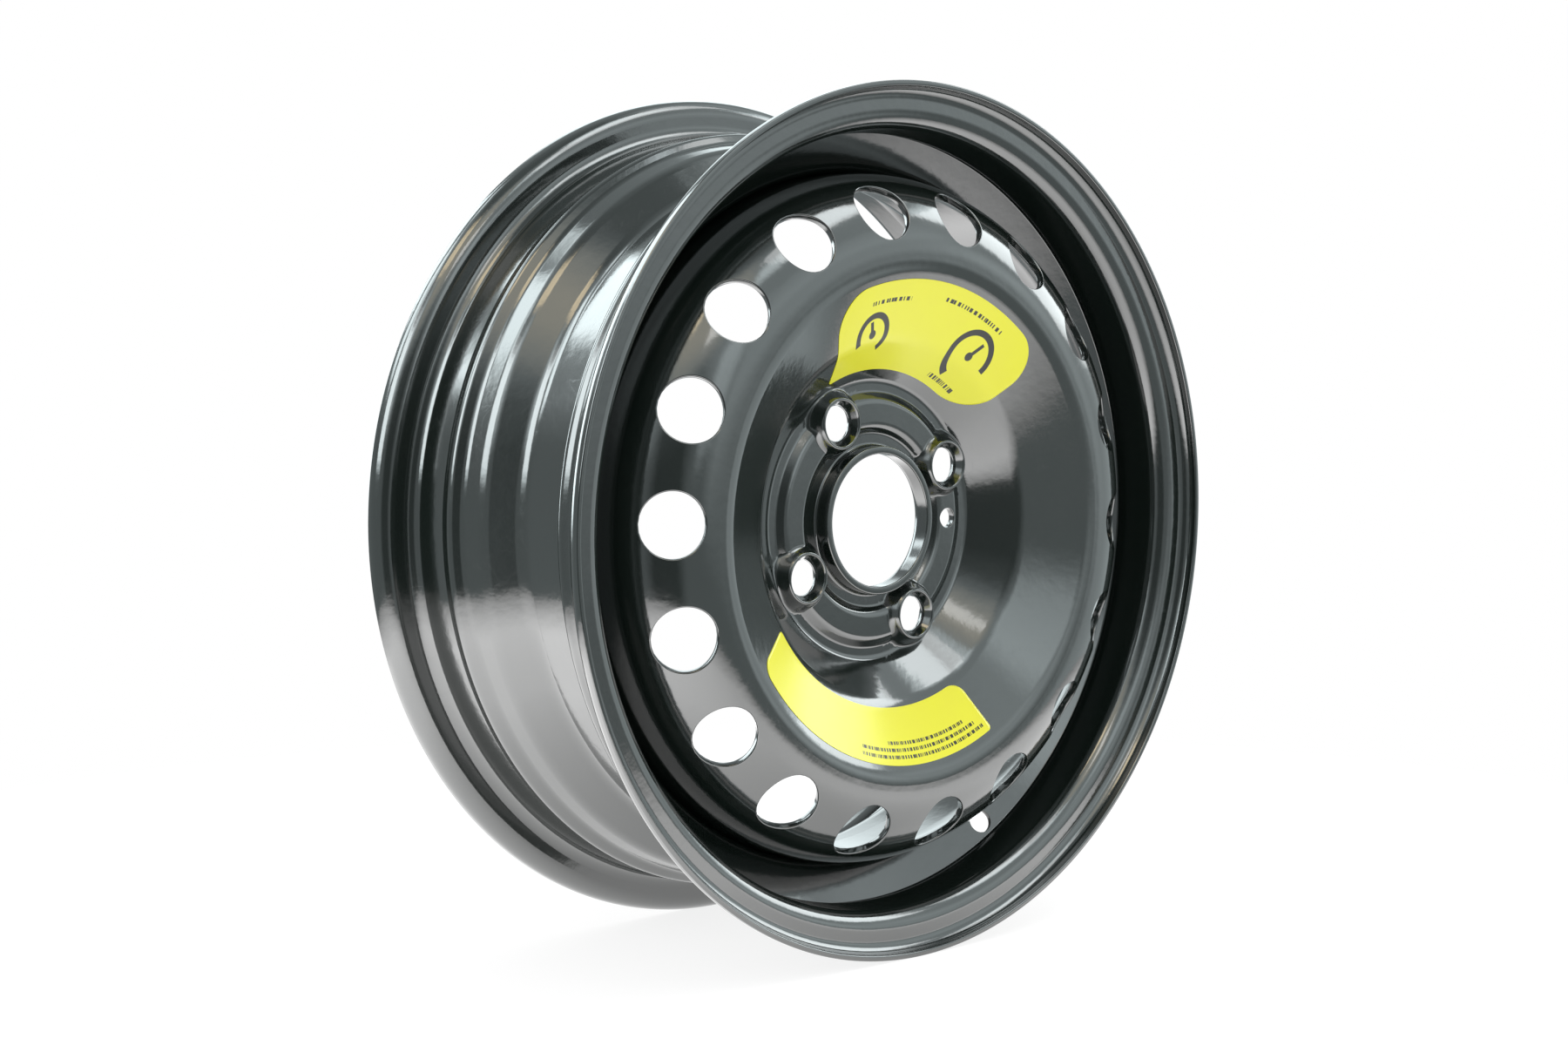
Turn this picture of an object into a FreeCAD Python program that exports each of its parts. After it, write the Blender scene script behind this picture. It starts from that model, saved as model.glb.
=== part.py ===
"""Pressed-steel spare wheel: a rolled drop-centre rim, a pressed disc welded into it, two vinyl labels.

The axle runs along Y with the outboard face toward -Y and +Z up.
The origin is on the axle, midway between the two flange lips.  Sizes are in millimetres and degrees.
"""

import FreeCAD, Part
import math
import os

import Sketcher

doc = FreeCAD.newDocument("spare_wheel")

# The sheet of sizes

SIZES = {
    # Rim strip: a J flange, a five-degree bead seat with a round hump, and an offset well.
    "seat_radius": 177.4,
    "rim_width": 127.0,
    "flange_height": 17.3,
    "lip_width": 9.8,
    "rim_gauge": 2.5,
    "lip_bend": 8.0,
    "heel_bend": 6.0,
    "seat_drop": 1.8,
    "hump_foot": 20.5,
    "hump_crest": 25.7,
    "hump_rise": 0.6,
    "foot_bend": 6.0,
    "crest_bend": 3.5,
    "well_depth": 18.9,
    "well_front": 27.5,
    "well_back": 9.5,
    "well_bend": 7.0,
    "crease_bend": 10.0,
    "shoulder_drop": 6.9,
    "shoulder_back": 22.5,
    "shoulder_bend": 12.0,
    "shelf_drop": 4.4,
    "shelf_back": 33.0,
    "lip_round": 0.7,
    # Valve hole through the outboard slope of the well.
    "valve_diameter": 11.3,
    "valve_rise": 10.5,
    "valve_angle": 298.0,
    # Pressed disc: hub collar, pad, groove, bowl, crown, round shoulder and flange.
    "disc_gauge": 3.5,
    "hub_offset": 36.0,
    "bore_radius": 30.05,
    "collar_height": 7.5,
    "collar_bend": 1.5,
    "pad_inset": 7.5,
    "pad_outset": 4.0,
    "pad_rise": 3.0,
    "pad_bend": 5.0,
    "step_bend": 2.2,
    "groove_outset": 8.0,
    "groove_width": 5.0,
    "groove_bend": 4.0,
    "bowl_run": 19.0,
    "bowl_front": 57.0,
    "bowl_bend": 25.0,
    "crown_inner": 113.5,
    "crown_front": 73.0,
    "crown_bend": 15.0,
    "vent_bend": 37.0,
    "flange_end": 9.0,
    "flange_gap": 0.05,
    # Round vents, four bolt bosses with cone seats, and the locating hole.
    "vent_count": 18,
    "vent_diameter": 28.0,
    "vent_tilt": 34.0,
    "vent_start": 17.7,
    "bolt_count": 4,
    "bolt_circle_radius": 50.0,
    "bolt_start": 28.1,
    "bolt_hole_radius": 8.0,
    "boss_foot_radius": 15.5,
    "boss_crest_radius": 11.4,
    "boss_rise": 4.0,
    "boss_foot_depth": 3.25,
    "boss_round": 0.8,
    "hollow_radius": 12.0,
    "hollow_depth": 5.0,
    "seat_depth": 4.2,
    "seat_half_angle": 30.0,
    "dowel_diameter": 9.0,
    "dowel_inset": 2.2,
    "dowel_angle": -1.5,
    # Weld runs between the end of the disc flange and the well.
    "weld_leg": 3.2,
    "weld_count": 8,
    "weld_arc": 26.0,
    # Vinyl labels laid in the bowl: each a sector of a ring with its own corner rounds.
    "label_gauge": 0.2,
    "label_outer": 108.2,
    "upper_inner": 68.3,
    "upper_start": 41.0,
    "upper_end": 116.5,
    "lower_inner": 83.6,
    "lower_start": 211.3,
    "lower_end": 296.7,
    "round_large": 19.0,
    "round_medium": 7.0,
    "round_small": 2.0,
}

sizes = doc.addObject("Spreadsheet::Sheet", "sizes")
for row, (alias, number) in enumerate(SIZES.items(), start=1):
    sizes.set(f"A{row}", alias)
    sizes.set(f"B{row}", str(number))
    sizes.setAlias(f"B{row}", alias)
doc.recompute()


def sheet_names(formula):
    """Writes each bare size name in a formula as a cell of the sheet."""
    words = sorted(SIZES, key=len, reverse=True)
    pieces = []
    at = 0
    while at < len(formula):
        word = next((name for name in words if formula.startswith(name, at)), None)
        pieces.append(f"sizes.{word}" if word else formula[at])
        at += len(word) if word else 1
    return "".join(pieces)


def measure(formula):
    """The number a formula of size names stands for now."""
    return float(sizes.evalExpression(sheet_names(formula)))


def bind(feature, prop, formula):
    feature.setExpression(prop, sheet_names(formula))


def new_body(label):
    body = doc.addObject("PartDesign::Body", label)
    body.Label = label
    return body


def origin_feature(body, role):
    return next(item for item in body.Origin.OriginFeatures if item.Role == role)


def new_sketch(body, name, role="XY_Plane", offset=None):
    """A sketch laid on one of the body's own planes, moved from it by a placement formula."""
    sketch = body.newObject("Sketcher::SketchObject", name)
    sketch.AttachmentSupport = [(origin_feature(body, role), "")]
    sketch.MapMode = "FlatFace"
    if offset:
        bind(sketch, "AttachmentOffset", offset)
    return sketch


def dimension(sketch, kind, ends, formula):
    """Adds one dimension and binds it to the sheet."""
    index = sketch.addConstraint(Sketcher.Constraint(kind, *ends, measure(formula)))
    name = f"size_{index}"
    sketch.renameConstraint(index, name)
    bind(sketch, f"Constraints.{name}", formula)


def strip_section(sketch, stations, gauge):
    """Draws a strip of one thickness, bent round a chain of stations.

    Each station is (radius, axial, bend): the straight runs of the face side meet there, and the bend
    is the face-side radius.  The back side lies to the left of the way the chain runs.
    """
    thick = measure(gauge)
    points = [FreeCAD.Vector(measure(radius), measure(axial), 0) for radius, axial, _ in stations]
    last = len(points) - 1
    runs = [(points[i + 1] - points[i]).normalize() for i in range(last)]
    lefts = [FreeCAD.Vector(-run.y, run.x, 0) for run in runs]

    bends = {}
    for i in range(1, last):
        turn = math.atan2(runs[i - 1].cross(runs[i]).z, runs[i - 1].dot(runs[i]))
        bend = measure(stations[i][2])
        reach = bend * math.tan(abs(turn) / 2)
        side = math.copysign(1, turn)
        centre = points[i] - runs[i - 1] * reach + lefts[i - 1] * (side * bend)
        bends[i] = (side, bend, reach, centre)

    def lay(shift):
        """Straight runs and bends of one side, moved to the left by a shift."""
        lines = []
        for i in range(last):
            start = points[i] + runs[i] * (bends[i][2] if i in bends else 0) + lefts[i] * shift
            end = points[i + 1] - runs[i] * (bends[i + 1][2] if i + 1 in bends else 0) + lefts[i] * shift
            lines.append(sketch.addGeometry(Part.LineSegment(start, end)))
        arcs = {}
        for i, (side, bend, _, centre) in bends.items():
            enter = lefts[i - 1] * -side
            leave = lefts[i] * -side
            angles = [math.atan2(enter.y, enter.x), math.atan2(leave.y, leave.x)]
            if side < 0:
                angles.reverse()
            circle = Part.Circle(centre, FreeCAD.Vector(0, 0, 1), bend - side * shift)
            arcs[i] = sketch.addGeometry(Part.ArcOfCircle(circle, *angles))
        for i, arc in arcs.items():
            first, second = (1, 2) if bends[i][0] > 0 else (2, 1)
            sketch.addConstraint(Sketcher.Constraint("Tangent", lines[i - 1], 2, arc, first))
            sketch.addConstraint(Sketcher.Constraint("Tangent", lines[i], 1, arc, second))
        return lines, arcs

    face_lines, face_arcs = lay(0)
    back_lines, back_arcs = lay(thick)
    for i, (radius, axial, bend) in enumerate(stations):
        if 0 < i < last:
            corner = sketch.addGeometry(Part.Point(points[i]), True)
            sketch.addConstraint(Sketcher.Constraint("PointOnObject", corner, 1, face_lines[i - 1]))
            sketch.addConstraint(Sketcher.Constraint("PointOnObject", corner, 1, face_lines[i]))
            sketch.addConstraint(Sketcher.Constraint("Coincident", back_arcs[i], 3, face_arcs[i], 3))
            dimension(sketch, "Radius", [face_arcs[i]], bend)
            sign = "-" if bends[i][0] > 0 else "+"
            dimension(sketch, "Radius", [back_arcs[i]], f"({bend}) {sign} ({gauge})")
            spot = (corner, 1)
        else:
            spot = (face_lines[0], 1) if i == 0 else (face_lines[-1], 2)
        dimension(sketch, "DistanceX", [-1, 1, *spot], radius)
        dimension(sketch, "DistanceY", [-1, 1, *spot], axial)
    for which, end in ((0, 1), (-1, 2)):
        face, back = face_lines[which], back_lines[which]
        at = points[which]
        cap = sketch.addGeometry(Part.LineSegment(at, at + lefts[which] * thick))
        sketch.addConstraint(Sketcher.Constraint("Coincident", cap, 1, face, end))
        sketch.addConstraint(Sketcher.Constraint("Coincident", cap, 2, back, end))
        sketch.addConstraint(Sketcher.Constraint("Perpendicular", cap, face))
        sketch.addConstraint(Sketcher.Constraint("Parallel", back, face))


def turn_about_axle(body, sketch, name, angle="360"):
    """Revolves a sketch about the axle."""
    doc.recompute()
    turned = body.newObject("PartDesign::Revolution", name)
    turned.Profile = sketch
    turned.ReferenceAxis = (sketch, ["V_Axis"])
    turned.Midplane = True
    bind(turned, "Angle", angle)
    body.Tip = turned
    doc.recompute()
    return turned


def round_hole(body, name, diameter, offset, reach, way="both", taper="0"):
    """Cuts a round hole square to a placed plane: both ways through the sheet, in from the plane or out
    from it.  A taper makes the hole a cone."""
    sketch = new_sketch(body, f"{name}_outline", "XZ_Plane", offset)
    middle, square = FreeCAD.Vector(), FreeCAD.Vector(0, 0, 1)
    circle = sketch.addGeometry(Part.Circle(middle, square, measure(diameter) / 2))
    sketch.addConstraint(Sketcher.Constraint("Coincident", circle, 3, -1, 1))
    dimension(sketch, "Diameter", [circle], diameter)
    doc.recompute()
    hole = body.newObject("PartDesign::Pocket", name)
    hole.Profile = sketch
    hole.SideType = "Symmetric" if way == "both" else "One side"
    hole.Reversed = way == "out"
    bind(hole, "Length", reach)
    bind(hole, "TaperAngle", taper)
    body.Tip = hole
    doc.recompute()
    return hole


def around_axle(body, name, originals, count):
    """Repeats features evenly round the axle."""
    pattern = body.newObject("PartDesign::PolarPattern", name)
    pattern.Originals = originals
    pattern.Axis = (origin_feature(body, "Y_Axis"), [""])
    bind(pattern, "Occurrences", count)
    body.Tip = pattern
    doc.recompute()
    return pattern


def on_face(radius, front, angle, tilt="0"):
    """A place at a radius, distance outboard and angle round the axle, tilted out from the axle."""
    spot = f"vector({radius} * cos({angle}); {radius} * sin({angle}); {front})"
    return f"placement({spot}; rotation({angle}; {tilt}; 0))"


def round_edges(body, name, rings, size):
    """Rounds the ring-shaped edges that have a given radius and axial place."""
    tip = body.Tip
    wanted = [(measure(radius), measure(axial)) for radius, axial in rings]
    names = []
    for number, edge in enumerate(tip.Shape.Edges, start=1):
        if not isinstance(edge.Curve, Part.Circle):
            continue
        here = (edge.Curve.Radius, edge.Curve.Center.y)
        if any(math.dist(here, ring) < 0.01 for ring in wanted):
            names.append(f"Edge{number}")
    rounds = body.newObject("PartDesign::Fillet", name)
    rounds.Base = (tip, names)
    bind(rounds, "Radius", size)
    body.Tip = rounds
    doc.recompute()
    return rounds


# Rim: one rolled strip, drawn on its tyre side from the outboard lip to the inboard lip

rim = new_body("rim")
rim_section = new_sketch(rim, "rim_section")
half = "rim_width / 2"
lip = "(seat_radius + flange_height)"
crest = "(seat_radius + hump_rise)"
well = "(seat_radius - well_depth)"
strip_section(
    rim_section,
    [
        (lip, f"-{half} - lip_width", None),
        (lip, f"-{half}", "lip_bend"),
        ("seat_radius", f"-{half}", "heel_bend"),
        ("seat_radius - seat_drop", f"-{half} + hump_foot", "foot_bend"),
        (crest, f"-{half} + hump_crest", "crest_bend"),
        (well, "-well_front", "well_bend"),
        (well, "well_back", "crease_bend"),
        ("seat_radius - shoulder_drop", "shoulder_back", "shoulder_bend"),
        ("seat_radius - shelf_drop", "shelf_back", "foot_bend"),
        (crest, f"{half} - hump_crest", "crest_bend"),
        ("seat_radius - seat_drop", f"{half} - hump_foot", "foot_bend"),
        ("seat_radius", half, "heel_bend"),
        (lip, half, "lip_bend"),
        (lip, f"{half} + lip_width", None),
    ],
    "rim_gauge",
)
turn_about_axle(rim, rim_section, "rolled_strip")
round_edges(
    rim,
    "lip_rounds",
    [
        (f"{lip} - {depth}", f"{side}({half} + lip_width)")
        for depth in ("0", "rim_gauge")
        for side in ("-", "+")
    ],
    "lip_round",
)

# Valve hole, punched square to the outboard slope of the well
climb = f"({crest} - {well})"
run = f"({half} - hump_crest - well_front)"
round_hole(
    rim,
    "valve_hole",
    "valve_diameter",
    on_face(
        f"({well} + valve_rise)",
        f"well_front + valve_rise * {run} / {climb}",
        "valve_angle",
        f"-atan({run} / {climb})",
    ),
    "rim_gauge * 4",
)

# Disc: one pressing, drawn on its outboard side from the collar tip to the end of the axial flange

wheel_disc = new_body("wheel_disc")
disc_section = new_sketch(wheel_disc, "disc_section")
collar = "bore_radius + disc_gauge"
hub_front = "(-hub_offset - disc_gauge)"
flange_radius = f"({well} - rim_gauge - flange_gap)"
pad_inner = "(bolt_circle_radius - pad_inset)"
pad_outer = "(bolt_circle_radius + pad_outset)"
groove_inner = "(bolt_circle_radius + groove_outset)"
groove_outer = f"({groove_inner} + groove_width)"
bowl_radius = f"({groove_outer} + bowl_run)"
steep = "(bowl_front - hub_offset - disc_gauge) / bowl_run"
strip_section(
    disc_section,
    [
        (collar, f"{hub_front} - collar_height", None),
        (collar, hub_front, "collar_bend"),
        (f"{pad_inner} - pad_rise", hub_front, "step_bend"),
        (pad_inner, f"{hub_front} - pad_rise", "pad_bend"),
        (pad_outer, f"{hub_front} - pad_rise", "pad_bend"),
        (groove_inner, hub_front, "step_bend"),
        (groove_outer, hub_front, "groove_bend"),
        (bowl_radius, "-bowl_front", "bowl_bend"),
        ("crown_inner", "-crown_front", "crown_bend"),
        (flange_radius, "-crown_front", "vent_bend"),
        (flange_radius, "-flange_end", None),
    ],
    "disc_gauge",
)
turn_about_axle(wheel_disc, disc_section, "pressed_sheet")
collar_tip = f"{hub_front} - collar_height"
round_edges(wheel_disc, "collar_rounds", [(collar, collar_tip), ("bore_radius", collar_tip)], "lip_round")

# Vents, punched square to the round shoulder between the crown and the axial flange
vent = round_hole(
    wheel_disc,
    "vent",
    "vent_diameter",
    on_face(
        f"({flange_radius} - vent_bend * (1 - sin(vent_tilt)))",
        "crown_front - vent_bend * (1 - cos(vent_tilt))",
        "vent_start",
        "vent_tilt",
    ),
    "disc_gauge * 6",
)
around_axle(wheel_disc, "vents", [vent], "vent_count")


def at_bolt(front):
    """A place on the first bolt's axis, a distance outboard of the wheel's middle."""
    return on_face("bolt_circle_radius", front, "bolt_start")


# Bolt bosses: a raised cone, a hollow behind it, a through hole and a cone seat for the bolt head
pad_front = "(hub_offset + disc_gauge + pad_rise)"
boss = wheel_disc.newObject("PartDesign::AdditiveCone", "boss")
boss.AttachmentSupport = [(origin_feature(wheel_disc, "XZ_Plane"), "")]
boss.MapMode = "FlatFace"
bind(boss, "AttachmentOffset", at_bolt(f"{pad_front} - boss_foot_depth"))
bind(boss, "Radius1", "boss_foot_radius")
bind(boss, "Radius2", "boss_crest_radius")
bind(boss, "Height", "boss_rise + boss_foot_depth")
wheel_disc.Tip = boss
doc.recompute()
around_axle(wheel_disc, "bosses", [boss], "bolt_count")

bolt_cuts = [
    round_hole(wheel_disc, "boss_hollow", "hollow_radius * 2", at_bolt("hub_offset"), "hollow_depth", "out"),
    round_hole(wheel_disc, "shank_hole", "bolt_hole_radius * 2", at_bolt(pad_front), "disc_gauge * 6"),
    round_hole(
        wheel_disc,
        "cone_seat",
        "(bolt_hole_radius + seat_depth * tan(seat_half_angle)) * 2",
        at_bolt(f"{pad_front} + boss_rise"),
        "seat_depth",
        "in",
        "-seat_half_angle",
    ),
]
around_axle(wheel_disc, "bolt_holes", bolt_cuts, "bolt_count")

# The crest of every boss is rounded, as a press leaves it
round_edges(
    wheel_disc,
    "crest_rounds",
    [("boss_crest_radius", f"-({pad_front} + boss_rise)")],
    "boss_round",
)

# Locating hole in the pad
round_hole(
    wheel_disc,
    "locating_hole",
    "dowel_diameter",
    on_face("(bolt_circle_radius - dowel_inset)", pad_front, "dowel_angle"),
    "disc_gauge * 4",
)

# Weld runs in the corner between the end of the disc flange and the well

weld_beads = new_body("weld_beads")
bead_section = new_sketch(weld_beads, "bead_section")
root = FreeCAD.Vector(measure(f"{flange_radius} + flange_gap"), -measure("flange_end"), 0)
leg = measure("weld_leg")
corners = [root, root + FreeCAD.Vector(0, leg, 0), root - FreeCAD.Vector(leg, 0, 0)]
sides = [
    bead_section.addGeometry(Part.LineSegment(corners[i], corners[(i + 1) % 3]))
    for i in range(3)
]
for i in range(3):
    bead_section.addConstraint(Sketcher.Constraint("Coincident", sides[i], 2, sides[(i + 1) % 3], 1))
bead_section.addConstraint(Sketcher.Constraint("Vertical", sides[0]))
bead_section.addConstraint(Sketcher.Constraint("Horizontal", sides[2]))
dimension(bead_section, "DistanceX", [-1, 1, sides[0], 1], f"{flange_radius} + flange_gap")
dimension(bead_section, "DistanceY", [-1, 1, sides[0], 1], "-flange_end")
dimension(bead_section, "Distance", [sides[0]], "weld_leg")
dimension(bead_section, "Distance", [sides[2]], "weld_leg")
bead = turn_about_axle(weld_beads, bead_section, "weld_run", "weld_arc")
around_axle(weld_beads, "weld_runs", [bead], "weld_count")


# Vinyl labels: a thin skin over the bowl, trimmed to a ring sector


def sector_outline(sketch, inner, outer, start, end, rounds):
    """Draws a sector of a ring; its corners are rounded in the order start-outer, end-outer,
    end-inner, start-inner."""
    low, high = measure(inner), measure(outer)
    angles = {"start": math.radians(measure(start)), "end": math.radians(measure(end))}

    def polar(radius, angle):
        return FreeCAD.Vector(radius * math.cos(angle), radius * math.sin(angle), 0)

    corners = {}
    for (edge, ring), size in zip(
        (("start", "outer"), ("end", "outer"), ("end", "inner"), ("start", "inner")), rounds
    ):
        radius = measure(size)
        away = high - radius if ring == "outer" else low + radius
        swing = math.asin(radius / away) * (1 if edge == "start" else -1)
        corners[edge, ring] = (radius, away, angles[edge] + swing, math.sqrt(away**2 - radius**2), size)

    edges = {}
    for edge in ("start", "end"):
        tips = [polar(corners[edge, ring][3], angles[edge]) for ring in ("inner", "outer")]
        edges[edge] = sketch.addGeometry(Part.LineSegment(*tips))
    rings = {}
    for ring, radius in (("inner", low), ("outer", high)):
        circle = Part.Circle(FreeCAD.Vector(), FreeCAD.Vector(0, 0, 1), radius)
        span = [corners[edge, ring][2] for edge in ("start", "end")]
        rings[ring] = sketch.addGeometry(Part.ArcOfCircle(circle, *span))
        sketch.addConstraint(Sketcher.Constraint("Coincident", rings[ring], 3, -1, 1))
    for (edge, ring), (radius, away, angle, _, size) in corners.items():
        on_ring = angle if ring == "outer" else angle + math.pi
        on_edge = angles[edge] + (-math.pi / 2 if edge == "start" else math.pi / 2)
        ring_last = (edge == "start") == (ring == "outer")
        span = (on_edge, on_ring) if ring_last else (on_ring, on_edge)
        circle = Part.Circle(polar(away, angle), FreeCAD.Vector(0, 0, 1), radius)
        arc = sketch.addGeometry(Part.ArcOfCircle(circle, *span))
        ring_end, edge_end = (2, 1) if ring_last else (1, 2)
        edge_tip = 2 if ring == "outer" else 1
        ring_tip = 1 if edge == "start" else 2
        sketch.addConstraint(Sketcher.Constraint("Tangent", edges[edge], edge_tip, arc, edge_end))
        sketch.addConstraint(Sketcher.Constraint("Tangent", rings[ring], ring_tip, arc, ring_end))
        dimension(sketch, "Radius", [arc], size)
    for ring, formula in (("inner", inner), ("outer", outer)):
        dimension(sketch, "Radius", [rings[ring]], formula)
    for edge, formula in (("start", start), ("end", end)):
        middle = f"({inner} + {outer}) / 2"
        point = sketch.addGeometry(Part.Point(polar(measure(middle), angles[edge])), True)
        sketch.addConstraint(Sketcher.Constraint("PointOnObject", point, 1, edges[edge]))
        sketch.addConstraint(Sketcher.Constraint("PointOnObject", -1, 1, edges[edge]))
        dimension(sketch, "DistanceX", [-1, 1, point, 1], f"{middle} * cos({formula})")
        dimension(sketch, "DistanceY", [-1, 1, point, 1], f"{middle} * sin({formula})")


def vinyl_label(label, inner, start, end, rounds):
    """One label: the bowl's own section as a skin, cut to the outline of the label."""
    skin = new_body(f"{label}_skin")
    section = new_sketch(skin, f"{label}_section")
    gentle = f"(crown_front - bowl_front) / (crown_inner - {bowl_radius})"
    far = "(label_outer + 1)"
    near = "4"
    stations = [
        (far, f"-bowl_front - ({far} - {bowl_radius}) * {gentle}", None),
        (bowl_radius, "-bowl_front", "bowl_bend"),
        (f"{groove_outer} + {near}", f"{hub_front} - {near} * {steep}", None),
    ]
    strip_section(section, stations, "label_gauge")
    turn_about_axle(skin, section, f"{label}_ring")
    sheet = new_body(f"{label}_sheet")
    outline = new_sketch(sheet, f"{label}_outline", "XZ_Plane")
    sector_outline(outline, inner, "label_outer", start, end, rounds)
    doc.recompute()
    pad = sheet.newObject("PartDesign::Pad", f"{label}_pad")
    pad.Profile = outline
    bind(pad, "Length", "crown_front + 20")
    sheet.Tip = pad
    doc.recompute()
    trimmed = doc.addObject("Part::Common", label)
    trimmed.Base = skin
    trimmed.Tool = sheet
    trimmed.Label = label
    doc.recompute()
    return trimmed


upper_label = vinyl_label(
    "upper_label",
    "upper_inner",
    "upper_start",
    "upper_end",
    ["round_large", "round_large", "round_small", "round_large"],
)
lower_label = vinyl_label(
    "lower_label",
    "lower_inner",
    "lower_start",
    "lower_end",
    ["round_medium", "round_small", "round_medium", "round_small"],
)

# Checks and export

doc.recompute()
for item in doc.Objects:
    troubles = [state for state in item.State if state in ("Invalid", "Error")]
    if troubles:
        raise RuntimeError(f"{item.Name} is in state {troubles}")

os.makedirs("parts", exist_ok=True)
for node in (rim, wheel_disc, weld_beads, upper_label, lower_label):
    if node.Shape.isNull() or not node.Shape.isValid():
        raise RuntimeError(f"{node.Label} has no sound shape")
    node.Shape.exportStep(f"parts/{node.Label}.step")
    print(node.Label, len(node.Shape.Solids), round(node.Shape.Volume), node.Shape.BoundBox)
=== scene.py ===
import math

import bmesh
import bpy
import numpy as np
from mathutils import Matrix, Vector
from mathutils.kdtree import KDTree


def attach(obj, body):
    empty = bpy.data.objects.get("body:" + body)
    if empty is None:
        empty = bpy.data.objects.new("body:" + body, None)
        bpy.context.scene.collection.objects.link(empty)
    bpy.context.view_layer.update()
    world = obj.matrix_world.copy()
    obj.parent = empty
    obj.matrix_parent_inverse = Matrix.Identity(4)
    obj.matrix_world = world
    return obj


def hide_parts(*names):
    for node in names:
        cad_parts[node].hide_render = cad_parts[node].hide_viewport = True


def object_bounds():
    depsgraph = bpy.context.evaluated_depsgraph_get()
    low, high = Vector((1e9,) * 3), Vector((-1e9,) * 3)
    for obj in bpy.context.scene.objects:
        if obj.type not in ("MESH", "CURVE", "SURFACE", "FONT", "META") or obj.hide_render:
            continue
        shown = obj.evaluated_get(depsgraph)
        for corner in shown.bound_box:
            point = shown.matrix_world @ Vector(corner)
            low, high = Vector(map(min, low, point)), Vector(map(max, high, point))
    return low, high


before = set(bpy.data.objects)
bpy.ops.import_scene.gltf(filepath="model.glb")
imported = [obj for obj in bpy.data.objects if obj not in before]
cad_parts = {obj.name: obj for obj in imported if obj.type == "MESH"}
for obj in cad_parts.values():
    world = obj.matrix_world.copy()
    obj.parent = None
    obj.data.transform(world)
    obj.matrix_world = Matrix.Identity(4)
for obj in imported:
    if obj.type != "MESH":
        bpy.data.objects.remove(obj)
cad_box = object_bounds()

# Rim
# The outer ring that carries the tyre: a steel strip rolled to a drop-centre section and butt welded.
# The section is given on its tyre side, from the outboard lip to the inboard one, in millimetres.
MM = 0.001
RIM_COLUMNS = 288
RIM_GAUGE = 2.5
LIP_ROUND = 0.7
LIP_BEND, SEAT_BEND, HUMP_BEND = 8, 6, 3.5
LIP_RADIUS, LIP_EDGE, FLANGE_FACE = 194.7, 73.3, 63.5
SEAT_HEEL, SEAT_TOE, SEAT_TOE_PLACE = 177.4, 175.6, 43.0
HUMP_RADIUS, HUMP_PLACE = 178.0, 37.8
WELL_RADIUS, WELL_FRONT, WELL_BACK = 158.5, -27.5, 9.5
SHOULDER_RADIUS, SHOULDER_PLACE = 170.5, 22.5
SHELF_RADIUS, SHELF_PLACE = 173.0, 33.0
RIM_STATIONS = [
    (LIP_RADIUS, -LIP_EDGE, 0),
    (LIP_RADIUS, -FLANGE_FACE, LIP_BEND),
    (SEAT_HEEL, -FLANGE_FACE, SEAT_BEND),
    (SEAT_TOE, -SEAT_TOE_PLACE, SEAT_BEND),
    (HUMP_RADIUS, -HUMP_PLACE, HUMP_BEND),
    (WELL_RADIUS, WELL_FRONT, 7),
    (WELL_RADIUS, WELL_BACK, 10),
    (SHOULDER_RADIUS, SHOULDER_PLACE, 12),
    (SHELF_RADIUS, SHELF_PLACE, 6),
    (HUMP_RADIUS, HUMP_PLACE, HUMP_BEND),
    (SEAT_TOE, SEAT_TOE_PLACE, SEAT_BEND),
    (SEAT_HEEL, FLANGE_FACE, SEAT_BEND),
    (LIP_RADIUS, FLANGE_FACE, LIP_BEND),
    (LIP_RADIUS, LIP_EDGE, 0),
]
VALVE_RADIUS, VALVE_ANGLE = 5.65, 298.0
VALVE_CENTRE = (169.0, -33.05)
VALVE_SECTOR, VALVE_ROOM = 3.75, 8.5


def unit(vector):
    return vector / np.linalg.norm(vector)


def left(direction):
    return np.array([-direction[1], direction[0]])


def turned(vector, angle):
    return vector * math.cos(angle) + left(vector) * math.sin(angle)


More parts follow.
